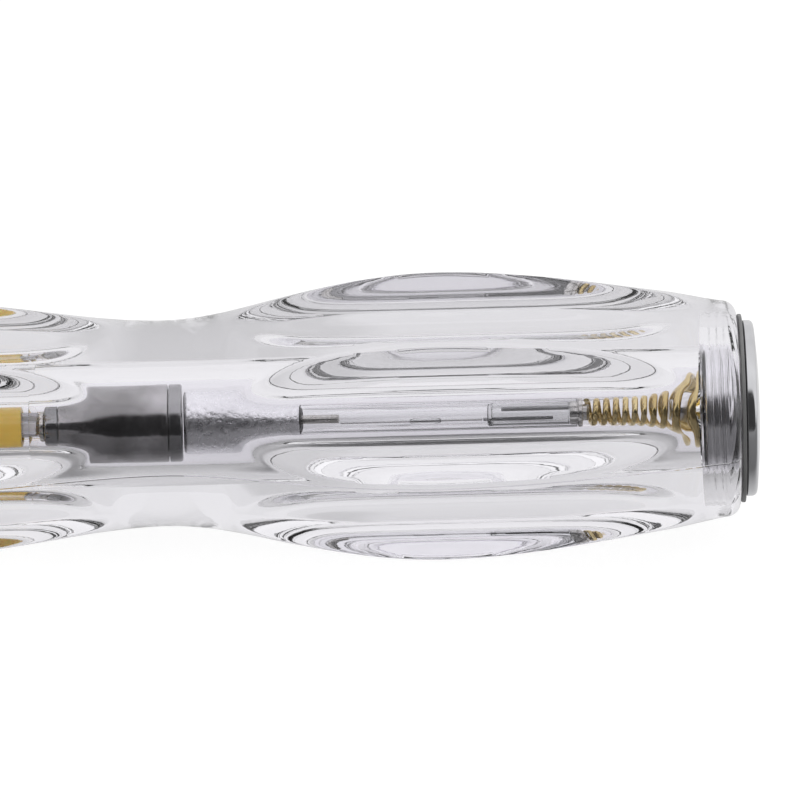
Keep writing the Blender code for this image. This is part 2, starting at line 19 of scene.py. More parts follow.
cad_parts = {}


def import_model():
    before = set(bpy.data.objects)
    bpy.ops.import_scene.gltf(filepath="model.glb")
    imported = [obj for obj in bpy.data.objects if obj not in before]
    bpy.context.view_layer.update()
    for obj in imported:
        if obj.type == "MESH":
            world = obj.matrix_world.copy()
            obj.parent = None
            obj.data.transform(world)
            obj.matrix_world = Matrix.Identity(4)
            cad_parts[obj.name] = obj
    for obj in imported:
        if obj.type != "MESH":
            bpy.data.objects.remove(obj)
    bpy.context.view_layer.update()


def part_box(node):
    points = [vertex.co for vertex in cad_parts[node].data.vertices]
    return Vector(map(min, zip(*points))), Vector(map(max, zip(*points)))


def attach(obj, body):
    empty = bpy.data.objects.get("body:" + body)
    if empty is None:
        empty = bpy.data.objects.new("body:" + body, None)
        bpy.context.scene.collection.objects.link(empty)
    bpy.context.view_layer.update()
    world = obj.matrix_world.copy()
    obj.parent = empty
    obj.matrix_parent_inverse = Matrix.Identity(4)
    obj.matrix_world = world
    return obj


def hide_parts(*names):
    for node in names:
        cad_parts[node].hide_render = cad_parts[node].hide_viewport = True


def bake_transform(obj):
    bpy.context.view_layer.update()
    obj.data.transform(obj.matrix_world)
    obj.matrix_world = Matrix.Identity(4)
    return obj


LOG = logging.getLogger("tester")
MM = 0.001

# Vertices nearer to each other than this are merged.
MERGE = 0.0005
# The clearance between pieces that sit in each other.
SLACK = 0.1
# How near a vertex comes to a wall's radius when it lies on that wall.
ON_WALL = 0.01
# The distance that stands for no flute at all.
FAR = 99.0
# The steps in which a crest's height is narrowed down.
HALVINGS = 20
# The thread's pitch, which is also the joint coupling's.
THREAD_PITCH = 0.7
# The points of an outline on each turn of the thread.
THREAD_POINTS = 8

Outline = list[tuple[float, float]]
Colour = tuple[float, float, float]
Marks = tuple[tuple[float, float], ...]
Socket = bpy.types.NodeSocket


class Body(Enum):
    """The moving bodies of the tool."""

    HANDLE = "handle_body"
    WASHER = "washer_body"
    CAP = "cap_body"


class Grain(Enum):
    """How a finish's small surface detail runs."""

    EVEN = (1.0, 1.0, 1.0)
    ALONG = (0.06, 1.0, 1.0)
    ROUND = (1.0, 0.04, 0.04)


def grey(level: float) -> tuple[float, float, float, float]:
    """Return a grey as a node's colour."""
    return (level, level, level, 1.0)


class Wiring:
    """A node tree, with short calls for the nodes that the finishes, the floor and the light share."""

    def __init__(self, tree: bpy.types.NodeTree) -> None:
        """Take up a node tree.

        Args:
            tree: The tree to add nodes to.
        """
        self.tree = tree

    def add(self, kind: str, **settings: object) -> bpy.types.Node:
        """Add a node.

        Args:
            kind: The node's type, without the words that all shader nodes start with.
            settings: Values for the node's own properties.

        Returns:
            The new node.
        """
        node = self.tree.nodes.new(f"ShaderNode{kind}")
        for name, value in settings.items():
            setattr(node, name, value)
        return node

    def feed(self, entry: Socket, value: object) -> None:
        """Link an input to another node's output, or set it to a plain value."""
        if isinstance(value, Socket):
            self.tree.links.new(value, entry)
        else:
            entry.default_value = value

    def reckon(self, operation: str, *values: Socket | float, clamp: bool = False) -> Socket:
        """Add a sum.

        Args:
            operation: Blender's name of the operation.
            values: What goes in, in order.
            clamp: Whether the result is kept between zero and one.

        Returns:
            The socket with the result.
        """
        node = self.add("Math", operation=operation, use_clamp=clamp)
        for entry, value in zip(node.inputs, values):
            self.feed(entry, value)
        return node.outputs[0]

    def spread(self, source: Socket, low: float, high: float, start: float = 0.35, end: float = 0.65,
               curve: str = "LINEAR") -> Socket:
        """Spread a value over a new range.

        Args:
            source: The value.
            low: The result where the value is at start or less.
            high: The result where the value is at end or more.
            start: The value that gives low.
            end: The value that gives high.
            curve: How the result goes from low to high.

        Returns:
            The socket with the new value.
        """
        node = self.add("MapRange", interpolation_type=curve)
        for name, value in (("From Min", start), ("From Max", end), ("To Min", low), ("To Max", high)):
            node.inputs[name].default_value = value
        self.feed(node.inputs["Value"], source)
        return node.outputs["Result"]

    def mixed(self, share: Socket, first: Socket | tuple, second: Socket | tuple) -> Socket:
        """Mix two colours.

        Args:
            share: The second colour's share.
            first: The colour at share zero.
            second: The colour at share one.

        Returns:
            The socket with the mixed colour.
        """
        node = self.add("Mix", data_type="RGBA")
        for index, value in ((0, share), (6, first), (7, second)):
            self.feed(node.inputs[index], value)
        return node.outputs[2]

    def levels(self, share: Socket, marks: Marks) -> Socket:
        """Turn a share into a grey level.

        Args:
            share: A value from zero to one.
            marks: Pairs of a share and its grey level, with the two ends first.

        Returns:
            The socket with the level.
        """
        node = self.add("ValToRGB")
        ramp = node.color_ramp
        for index, (place, level) in enumerate(marks):
            mark = ramp.elements[index] if index < 2 else ramp.elements.new(place)
            mark.position = place
            mark.color = grey(level)
        self.feed(node.inputs["Fac"], share)
        return node.outputs["Color"]

    def parts(self, place: Socket) -> bpy.types.NodeOutputs:
        """Return the X, Y and Z of a place."""
        node = self.add("SeparateXYZ")
        self.feed(node.inputs[0], place)
        return node.outputs


class Recipe(Wiring):
    """A Principled material under construction."""

    def __init__(self, name: str) -> None:
        """Start a material.

        Args:
            name: The material's name.
        """
        self.material = bpy.data.materials.new(name)
        self.material.use_nodes = True
        super().__init__(self.material.node_tree)
        self.shader = self.tree.nodes["Principled BSDF"]
        self.place = self.add("TexCoord").outputs["Object"]

    def plain(self, **values: object) -> None:
        """Set the shader's own sockets, with underscores for the spaces in their names."""
        for name, value in values.items():
            self.shader.inputs[name.replace("_", " ")].default_value = value

    def noise(self, scale: float, grain: Grain = Grain.EVEN, detail: float = 3.0) -> Socket:
        """Add a noise pattern on the piece's own coordinates.

        Args:
            scale: Cells per metre.
            grain: The direction that the pattern runs in.
            detail: Octaves of the noise.

        Returns:
            The socket with the pattern's grey value.
        """
        mapping = self.add("Mapping")
        mapping.inputs["Scale"].default_value = grain.value
        self.feed(mapping.inputs["Vector"], self.place)
        pattern = self.add("TexNoise")
        pattern.inputs["Scale"].default_value = scale
        pattern.inputs["Detail"].default_value = detail
        self.feed(pattern.inputs["Vector"], mapping.outputs["Vector"])
        return pattern.outputs["Fac"]

    def blend(self, share: Socket, first: Colour, second: Colour) -> None:
        """Colour the piece between two colours.

        Args:
            share: The socket that gives the second colour's share.
            first: The colour at share zero.
            second: The colour at share one.
        """
        self.feed(self.shader.inputs["Base Color"], self.mixed(share, (*first, 1.0), (*second, 1.0)))

    def rough(self, source: Socket) -> None:
        """Drive the roughness with a pattern."""
        self.feed(self.shader.inputs["Roughness"], source)

    def relief(self, *layers: tuple[Socket, float]) -> None:
        """Stack patterns as bumps.

        Args:
            layers: Pairs of a pattern and its height in millimetres.
        """
        normal = None
        for source, height in layers:
            bump = self.add("Bump")
            bump.inputs["Distance"].default_value = height * MM
            self.feed(bump.inputs["Height"], source)
            if normal is not None:
                self.feed(bump.inputs["Normal"], normal)
            normal = bump.outputs["Normal"]
        self.feed(self.shader.inputs["Normal"], normal)


@dataclass(frozen=True)
class ClearMoulding:
    """Clear plastic of the handle, with the parting line, the waves and the scuffs of a moulded piece."""

    name: str = "clear_moulding"
    colour: Colour = (0.964, 0.953, 0.99)
    ior: float = 1.49
    wave_scale: float = 140.0
    wave_height: float = 0.02
    scuff_scale: float = 2600.0
    scuff_height: float = 0.002
    scuff_rough: float = 0.06
    scuff_start: float = 0.55
    scuff_end: float = 0.75
    line_width: float = 0.16
    line_height: float = 0.03
    line_from: float = 6.4
    line_full: float = 6.8

    def make(self) -> bpy.types.Material:
        """Return the finished material."""
        recipe = Recipe(self.name)
        recipe.plain(Base_Color=(*self.colour, 1.0), IOR=self.ior, Transmission_Weight=1.0)
        waves = recipe.noise(self.wave_scale, detail=1.0)
        scuffs = recipe.noise(self.scuff_scale, Grain.ALONG, detail=2.0)
        recipe.rough(recipe.spread(scuffs, 0.0, self.scuff_rough, self.scuff_start, self.scuff_end))
        line = self.parting_line(recipe)
        recipe.relief((waves, self.wave_height), (scuffs, self.scuff_height), (line, self.line_height))
        return recipe.material

    def parting_line(self, recipe: Recipe) -> Socket:
        """Return the height of the mould's parting line, which runs along both outer sides of the handle.

        Args:
            recipe: The material under construction.

        Returns:
            The socket that is one on the line and zero beside it.
        """
        parts = recipe.parts(recipe.place)
        beside = recipe.reckon("ABSOLUTE", parts["Z"])
        line = recipe.spread(beside, 1.0, 0.0, 0.0, self.line_width / 2 * MM)
        outward = recipe.reckon("ABSOLUTE", parts["Y"])
        outside = recipe.spread(outward, 0.0, 1.0, self.line_from * MM, self.line_full * MM)
        return recipe.reckon("MULTIPLY", line, outside)


@dataclass(frozen=True)
class LampGlass:
    """Drawn glass of the lamp, its inner tube and its bead."""

    name: str = "drawn_glass"
    colour: Colour = (0.995, 0.998, 0.997)
    ior: float = 1.47
    draw_scale: float = 500.0
    draw_height: float = 0.003

    def make(self) -> bpy.types.Material:
        """Return the finished material."""
        recipe = Recipe(self.name)
        recipe.plain(Base_Color=(*self.colour, 1.0), IOR=self.ior, Transmission_Weight=1.0, Roughness=0.0)
        recipe.relief((recipe.noise(self.draw_scale, Grain.ALONG, detail=1.0), self.draw_height))
        return recipe.material


@dataclass(frozen=True)
class Metal:
    """A bare or plated metal with a grain, which also serves for the glossy carbon rod."""

    name: str
    colour: Colour
    worn: Colour
    smooth: float
    rough: float
    grain: Grain = Grain.EVEN
    scale: float = 900.0
    height: float = 0.004
    patch_scale: float = 260.0

    def make(self) -> bpy.types.Material:
        """Return the finished material."""
        recipe = Recipe(self.name)
        recipe.plain(Metallic=1.0)
        lines = recipe.noise(self.scale, self.grain, detail=5.0)
        patches = recipe.noise(self.patch_scale, detail=2.0)
        recipe.blend(recipe.spread(patches, 0.0, 1.0), self.colour, self.worn)
        recipe.rough(recipe.spread(lines, self.smooth, self.rough))
        recipe.relief((lines, self.height))
        return recipe.material


@dataclass(frozen=True)
class Plastic:
    """A coloured opaque piece: the insulation and the seal."""

    name: str
    colour: Colour
    shade: Colour
    smooth: float
    rough: float
    grain: Grain = Grain.EVEN
    scale: float = 700.0
    height: float = 0.006
    patch_scale: float = 120.0
    subsurface: float = 0.0
    subsurface_reach: float = 1.0
    ior: float = 1.5

    def make(self) -> bpy.types.Material:
        """Return the finished material."""
        recipe = Recipe(self.name)
        reach = self.subsurface_reach * MM
        recipe.plain(Subsurface_Weight=self.subsurface, Subsurface_Scale=reach, IOR=self.ior)
        fine = recipe.noise(self.scale, self.grain, detail=4.0)
        patches = recipe.noise(self.patch_scale, detail=2.0)
        recipe.blend(recipe.spread(patches, 0.0, 1.0), self.colour, self.shade)
        recipe.rough(recipe.spread(fine, self.smooth, self.rough))
        recipe.relief((fine, self.height))
        return recipe.material


Finish = ClearMoulding | LampGlass | Metal | Plastic

CLEAR = ClearMoulding()
GLASS = LampGlass()
STEEL = Metal("ground_steel", (0.62, 0.62, 0.64), (0.52, 0.52, 0.54), 0.22, 0.42, Grain.ALONG, 2400.0)
NICKEL = Metal("nickel_plate", (0.72, 0.71, 0.68), (0.6, 0.58, 0.54), 0.16, 0.34)
DARK_METAL = Metal("dark_plate", (0.38, 0.38, 0.38), (0.26, 0.26, 0.26), 0.1, 0.22)
ALUMINIUM = Metal(
    "frosted_cup_metal", (0.99, 0.99, 1.0), (0.93, 0.93, 0.94), 0.25, 0.38, scale=2600.0, height=0.09
)
BRASS = Metal("drawn_brass", (0.82, 0.68, 0.36), (0.6, 0.46, 0.2), 0.1, 0.26, scale=1500.0, height=0.002)
PLUG_PLATE = Metal(
    "plug_plate", (0.95, 0.95, 0.96), (0.84, 0.84, 0.84), 0.14, 0.26, Grain.ROUND, scale=1800.0, height=0.003
)
CAP_PLATE = Metal("cap_plate", (0.7, 0.7, 0.72), (0.6, 0.6, 0.62), 0.06, 0.16, scale=1600.0, height=0.002)
CARBON = Metal("carbon_rod", (0.52, 0.51, 0.51), (0.26, 0.255, 0.25), 0.08, 0.2, scale=1100.0, height=0.03)
WIRE = Metal("lead_wire_metal", (0.9, 0.9, 0.89), (0.82, 0.82, 0.81), 0.2, 0.38)
ROD = Metal("electrode_metal", (0.5, 0.5, 0.51), (0.4, 0.4, 0.41), 0.24, 0.4)
YELLOW = Plastic(
    "satin_yellow",
    (0.99, 0.69, 0.13),
    (0.95, 0.61, 0.09),
    0.26,
    0.42,
    Grain.ALONG,
    scale=900.0,
    subsurface=0.2,
)
SEAL = Plastic("seal_grey", (0.2, 0.2, 0.2), (0.15, 0.15, 0.15), 0.34, 0.5)


def material_of(finish: Finish) -> bpy.types.Material:
    """Return a finish's material, made once."""
    return bpy.data.materials.get(finish.name) or finish.make()


def eased(start: tuple[float, float, float], end: tuple[float, float, float], steps: int) -> Outline:
    """Join two stations with a cubic.

    Args:
        start: The first station's x, radius and slope.
        end: The last station's x, radius and slope.
        steps: The number of points after the first.

    Returns:
        The points after the start.
    """
    span = end[0] - start[0]
    points = []
    for step in range(1, steps + 1):
        t = step / steps
        radius = (
            (2 * t**3 - 3 * t**2 + 1) * start[1]
            + (t**3 - 2 * t**2 + t) * span * start[2]
            + (3 * t**2 - 2 * t**3) * end[1]
            + (t**3 - t**2) * span * end[2]
        )
        points.append((start[0] + span * t, radius))
    return points


def softened(corners: Outline, rounds: list[float], steps: int = 4) -> Outline:
    """Round the corners of an outline.

    Args:
        corners: The outline's corners, as x and radius.
        rounds: The rounding of each corner, with zero for a sharp one.
        steps: The points of each rounding after its first.

    Returns:
        The outline with an arc in place of each rounded corner.
    """
    points: Outline = []
    for index, (corner, amount) in enumerate(zip(corners, rounds)):
        if amount <= 0:
            points.append(corner)
            continue
        here = Vector(corner)
        before = (Vector(corners[index - 1]) - here).normalized() * amount
        after = (Vector(corners[(index + 1) % len(corners)]) - here).normalized() * amount
        for step in range(steps + 1):
            t = step / steps
            point = here + before * (1 - t) ** 2 + after * t**2
            points.append((point.x, point.y))
    return points


def soft_least(first: float, second: float, width: float) -> float:
    """Return the lesser of two values, rounded over a width where they meet."""
    share = min(max(0.5 + 0.5 * (second - first) / width, 0.0), 1.0)
    return second * (1 - share) + first * share - width * share * (1 - share)


def thread_wave(x: float, angle: float) -> float:
    """Return where a place lies on the thread's flank, from zero to one."""
    phase = (x / THREAD_PITCH - angle / (2 * math.pi)) % 1.0
    return 0.5 - 0.5 * math.cos(2 * math.pi * phase)


def spin(work: bmesh.types.BMesh, outline: Outline, steps: int, centre: tuple[float, float] = (0.0, 0.0),
         closed: bool = False) -> None:
    """Turn an outline round an axis parallel to X.

    Args:
        work: The mesh to add to.
        outline: Points of x and radius.
        steps: The facets round the axis.
        centre: The axis's place across the tool.
        closed: Whether the outline's ends meet off the axis.
    """
    shift = Vector((0.0, centre[0], centre[1])) * MM
    points = [work.verts.new(Vector((x, 0.0, radius)) * MM + shift) for x, radius in outline]
    edges = [work.edges.new(pair) for pair in zip(points, points[1:])]
    if closed:
        edges.append(work.edges.new((points[-1], points[0])))
    bmesh.ops.spin(
        work, geom=points + edges, cent=shift, axis=(1, 0, 0), angle=2 * math.pi, steps=steps, use_merge=True
    )


def reshape(work: bmesh.types.BMesh, wanted: Callable[[float, float, float], float | None]) -> None:
    """Move the vertices of a turned mesh nearer to its axis or further from it.

    Args:
        work: The mesh.
        wanted: Returns the new radius from a vertex's x, radius and direction, or None to leave it.
    """
    bmesh.ops.remove_doubles(work, verts=work.verts, dist=MERGE * MM)
    for vert in work.verts:
        across = Vector((vert.co.y, vert.co.z)) / MM
        radius = across.length
        new = wanted(vert.co.x / MM, radius, math.atan2(across.y, across.x))
        if new is None:
            continue
        across *= new / radius * MM
        vert.co.y = across.x
        vert.co.z = across.y


def settle(work: bmesh.types.BMesh, name: str, finish: Finish, crease: float = 40.0) -> bpy.types.Object:
    """Turn a bmesh into a smooth object with outward faces.

    Args:
        work: The mesh, which is freed.
        name: The piece's name.
        finish: The piece's finish.
        crease: The angle in degrees past which an edge stays sharp.

    Returns:
        The new object, at the origin.
    """
    bmesh.ops.remove_doubles(work, verts=work.verts, dist=MERGE * MM)
    bmesh.ops.recalc_face_normals(work, faces=work.faces)
    data = bpy.data.meshes.new(name)
    work.to_mesh(data)
    work.free()
    data.materials.append(material_of(finish))
    data.shade_smooth()
    data.set_sharp_from_angle(angle=math.radians(crease))
    piece = bpy.data.objects.new(name, data)
    bpy.context.collection.objects.link(piece)
    return piece


def fit(piece: bpy.types.Object, node: str, body: Body = Body.HANDLE) -> None:
    """Put a rigid piece on its body and in the place of its CAD node, and report it.

    Args:
        piece: The finished piece.
        node: The CAD node that it stands for.
        body: The body that it rides on.
    """
    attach(piece, body.value)
    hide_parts(node)
    LOG.info("%s stands for %s on %s", piece.name, node, body.value)


def span_of(node: str) -> tuple[float, float]:
    """Return where a CAD node starts and ends along the axis."""
    low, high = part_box(node)
    return low.x / MM, high.x / MM


@dataclass
class FluteRow:
    """One row of hollow flutes round a bulge, as a barrel-shaped cutter leaves them."""

    middle: float
    length: float
    floor: float
    cutter: float
    end_rise: float
    crest_round: float
    end_power: int = 6
    count: int = 6
    reach_share: float = 1.4

    def depth_line(self, x: float, angle: float) -> float:
        """Return the distance from the axis to the flutes' surface.

        Args:
            x: The place along the axis.
            angle: The direction round the axis, in radians from a flute's middle.

        Returns:
            The distance, or a large one where no flute reaches.
        """
        share = 2 * (x - self.middle) / self.length
        if abs(share) > self.reach_share:
            return FAR
        radius = self.cutter - self.end_rise * share**self.end_power
        centre = self.floor + self.cutter
        step = 2 * math.pi / self.count
        folded = (angle + step / 2) % step - step / 2
        sides = []
        for turn in (folded, step - abs(folded)):
            inside = radius**2 - (centre * math.sin(turn)) ** 2
            sides.append(centre * math.cos(turn) - math.sqrt(inside) if inside > 0 else FAR)
        if sides[1] >= FAR:
            return sides[0]
        return soft_least(sides[0], sides[1], self.crest_round / 2)


@dataclass
class Handle:
    """The clear moulded handle: two fluted bulges, a neck and a stepped bore with a thread at its tail.

    The profile lists points of the crests' outline from the nose to the tail. Each has its distance from
    the handle's end, its radius and its slope.
    """

    start: float = 100.0
    length: float = 94.0
    nose_radius: float = 7.6
    nose_round: float = 1.6
    nose_slope: float = 0.3
    tail_corner: float = 9.6
    tail_round: float = 1.3
    tail_slope: float = -0.15
    profile: tuple[tuple[float, float, float], ...] = (
        (71.5, 11.15, 0.0),
        (50.8, 9.13, 0.0),
        (42.4, 10.37, 0.24),
        (26.4, 12.72, 0.0),
        (6.3, 10.55, -0.15),
    )
    front_flutes: float = 71.5
    rear_flutes: float = 24.4
    socket: float = 3.6
    socket_chamfer: float = 0.4
    bore: float = 3.75
    bore_depth: float = 62.5
    bore_chamfer: float = 0.25
    step_lip: float = 0.05
    counterbore: float = 5.8
    counterbore_depth: float = 3.8
    mouth_chamfer: float = 0.3
    thread_depth: float = 0.06
    thread_start: float = 0.1
    thread_fade: float = 0.5
    thread_exit: float = 0.4
    flute_gap: float = 1.2
    outline_step: float = 0.47
    nose_steps: int = 6
    tail_steps: int = 8
    bore_steps: int = 12
    socket_steps: int = 8
    steps: int = 336

    @property
    def end(self) -> float:
        """Return where the handle ends."""
        return self.start + self.length

    def rows(self) -> list[FluteRow]:
        """Return the two rows of flutes."""
        front = FluteRow(
            middle=self.end - self.front_flutes,
            length=30.4,
            floor=8.25,
            cutter=9.0,
            end_rise=1.35,
            crest_round=1.0,
        )
        rear = FluteRow(
            middle=self.end - self.rear_flutes,
            length=38.0,
            floor=8.8,
            cutter=8.0,
            end_rise=1.5,
            crest_round=1.4,
        )
        return [front, rear]

    def outer(self) -> Outline:
        """Return the outline of the bulges' crests, from the nose to the tail."""
        nose = (self.start + self.nose_round, self.nose_radius - self.nose_round)
        tail = (self.end - self.tail_round, self.tail_corner - self.tail_round)
        stations = [(nose[0], self.nose_radius, self.nose_slope)]
        stations += [(self.end - back, radius, slope) for back, radius, slope in self.profile]
        stations.append((tail[0], self.tail_corner, self.tail_slope))
        points = [
            (nose[0] - self.nose_round * math.cos(a), nose[1] + self.nose_round * math.sin(a))
            for a in (math.pi / 2 * i / self.nose_steps for i in range(self.nose_steps + 1))
        ]
        for first, last in zip(stations, stations[1:]):
            points += eased(first, last, max(4, round((last[0] - first[0]) / self.outline_step)))
        points += [
            (tail[0] + self.tail_round * math.sin(a), tail[1] + self.tail_round * math.cos(a))
            for a in (math.pi / 2 * i / self.tail_steps for i in range(1, self.tail_steps + 1))
        ]
        return points

    def inner(self) -> Outline:
        """Return the outline of the stepped bore, from the tail to the nose."""
        end = self.end
        shoulder = end - self.counterbore_depth
        step = end - self.bore_depth
        chamfer = self.mouth_chamfer
        threaded = self.counterbore_depth - 2 * chamfer
        turns = round(threaded / THREAD_PITCH * THREAD_POINTS)
        points = [(end, self.counterbore + chamfer), (end - chamfer, self.counterbore)]
        points += [(end - chamfer - threaded * i / turns, self.counterbore) for i in range(1, turns + 1)]
        points += [
            (shoulder, self.counterbore),
            (shoulder, self.bore + self.bore_chamfer),
            (shoulder - self.bore_chamfer, self.bore),
        ]
        bored = (shoulder - step) / self.bore_steps
        points += [(shoulder - bored * i, self.bore) for i in range(1, self.bore_steps)]
        points += [
            (step + 2 * self.step_lip, self.bore),
            (step, self.bore - self.step_lip),
            (step, self.socket),
        ]
        socketed = (step - self.start) / self.socket_steps
        points += [(step - socketed * i, self.socket) for i in range(1, self.socket_steps)]
        points += [
            (self.start + self.socket_chamfer, self.socket),
            (self.start, self.socket + self.socket_chamfer),
        ]
        return points

    def crest(self, x: float, radius: float) -> float:
        """Return how far out the round body stands so that its rounded crests keep the outline.

        Args:
            x: The place along the axis.
            radius: The outline's radius there.

        Returns:
            The round body's radius before the flutes are cut.
        """
        least = radius
        most = radius + 1.0
        for _ in range(HALVINGS):
            middle = (least + most) / 2
            if self.fluted(x, math.pi / FluteRow.count, middle) < radius:
                least = middle
            else:
                most = middle
        return least

    def fluted(self, x: float, angle: float, radius: float) -> float:
        """Return the handle's radius with the flutes cut.

        Args:
            x: The place along the axis.
            angle: The direction round the axis, from a flute's middle.
            radius: The round body's radius there.

        Returns:
            The radius of the finished surface.
        """
        for row in self.rows():
            line = row.depth_line(x, angle)
            if line < FAR:
                radius = soft_least(radius, line, row.crest_round)
        return radius

    def lowest(self, x: float) -> float:
        """Return how far under the axis the handle reaches at a place along it."""
        reach = 0.0
        base = next(radius for place, radius in self.outer() if place >= x)
        for degree in range(90):
            angle = math.radians(degree)
            reach = max(reach, self.fluted(x, angle, base) * math.cos(angle))
        return reach

    def thread(self, x: float, angle: float) -> float:
        """Return the height of the thread's crest over the counterbore's wall."""
        inward = x - (self.end - self.counterbore_depth) - self.thread_start
        outward = self.end - self.mouth_chamfer - x
        fade = min(1.0, max(0.0, inward / self.thread_fade), max(0.0, outward / self.thread_exit))
        return self.thread_depth * fade * thread_wave(x, angle)

    def build(self) -> None:
        """Build the handle."""
        outside = self.outer()
        crests = {round(x, 4): self.crest(x, radius) - radius for x, radius in outside}

        def shaped(x: float, radius: float, angle: float) -> float | None:
            """Return a vertex's radius with the flutes cut or the thread raised."""
            if radius > self.counterbore + self.flute_gap:
                return self.fluted(x, angle - math.pi / 2, radius + crests.get(round(x, 4), 0.0))
            if x > self.end - self.counterbore_depth and abs(radius - self.counterbore) < ON_WALL:
                return radius - self.thread(x, angle)
            return None

        work = bmesh.new()
        spin(work, outside + self.inner(), self.steps, closed=True)
        reshape(work, shaped)
        fit(settle(work, "clear_handle", CLEAR), "handle")


@dataclass
class Shank:
    """The steel shank with its ground blade, and the yellow tube that insulates it."""

    radius: float = 2.5
    blade_width: float = 6.0
    tip_thickness: float = 0.9
    tip_round: float = 0.08
    tip_power: float = 0.16
    blade_length: float = 11.0
    flat_length: float = 2.5
    flat_stations: tuple[float, ...] = (0.3, 0.7, 1.1, 1.5, 1.9, 2.3)
    taper_steps: int = 22
    shaft_stations: tuple[float, ...] = (40.0, 80.0, 110.0)
    end_chamfer: float = 0.3
    tube_radius: float = 3.5
    tube_bore: float = 2.6
    lip: float = 0.4
    crease: float = 32.0
    steps: int = 96

    def section(self, x: float) -> tuple[float, float, float]:
        """Return the blade's half width, half thickness and squareness at a place along it.

        Args:
            x: The distance from the tip.

        Returns:
            The half width, the half thickness and the power of the section, one for a round one.
        """
        share = min(max((x - self.flat_length) / (self.blade_length - self.flat_length), 0.0), 1.0)
        smooth = share * share * (3 - 2 * share)
        width = self.blade_width / 2 + (self.radius - self.blade_width / 2) * smooth
        thin = self.tip_thickness / 2 * max(x, self.flat_length) / self.flat_length
        thick = thin + (self.radius - thin) * smooth
        return width, min(thick, self.radius), self.tip_power + (1 - self.tip_power) * smooth

    def build_blade(self) -> None:
        """Build the shank from a circle that is drawn out ring by ring."""
        rear = span_of("shank")[1]
        taper = (self.blade_length - self.flat_length) / self.taper_steps
        stations = [0.0, self.tip_round, *self.flat_stations]
        stations += [self.flat_length + taper * i for i in range(1, self.taper_steps + 1)]
        stations += [*self.shaft_stations, rear - self.end_chamfer, rear]
        work = bmesh.new()
        made = bmesh.ops.create_circle(work, cap_ends=True, radius=self.radius * MM, segments=self.steps)
        ring = made["verts"]
        bmesh.ops.rotate(work, verts=ring, matrix=Matrix.Rotation(math.pi / 2, 3, "Y"))
        self.shape_ring(ring, stations[0], rear)
        edges = list(work.edges)
        for x in stations[1:]:
            drawn = bmesh.ops.extrude_edge_only(work, edges=edges)
            ring = [item for item in drawn["geom"] if isinstance(item, bmesh.types.BMVert)]
            edges = [item for item in drawn["geom"] if isinstance(item, bmesh.types.BMEdge)]
            edges = [edge for edge in edges if all(vert in ring for vert in edge.verts)]
            self.shape_ring(ring, x, rear)
        bmesh.ops.contextual_create(work, geom=edges)
        fit(settle(work, "steel_shank", STEEL, self.crease), "shank")

    def shape_ring(self, ring: list[bmesh.types.BMVert], x: float, rear: float) -> None:
        """Move one ring of vertices on to the shank's section.

        Args:
            ring: The ring's vertices.
            x: The section's place.
            rear: Where the shank ends.
        """
        width, thick, power = self.section(x)
        if x >= rear:
            width = thick = self.radius - self.end_chamfer
        if x <= 0:
            width -= self.tip_round
            thick -= self.tip_round
        for vert in ring:
            angle = math.atan2(vert.co.z, vert.co.y)
            along = math.cos(angle)
            up = math.sin(angle)
            level = (abs(along) ** (2 / power) + abs(up) ** (2 / power)) ** (-power / 2)
            vert.co = Vector((x, width * along * level, thick * up * level)) * MM

    def build_tube(self) -> None:
        """Build the insulating tube, with a soft lip at its front."""
        front, rear = span_of("shank_sleeve")
        corners = [
            (front, self.tube_bore),
            (front, self.tube_radius),
            (rear, self.tube_radius),
            (rear, self.tube_bore),
        ]
        work = bmesh.new()
        spin(work, softened(corners, [0.0, self.lip, 0.15, 0.0]), self.steps, closed=True)
        fit(settle(work, "insulating_tube", YELLOW), "shank_sleeve")

    def build(self) -> None:
        """Build the shank and its tube."""
        self.build_blade()
        self.build_tube()


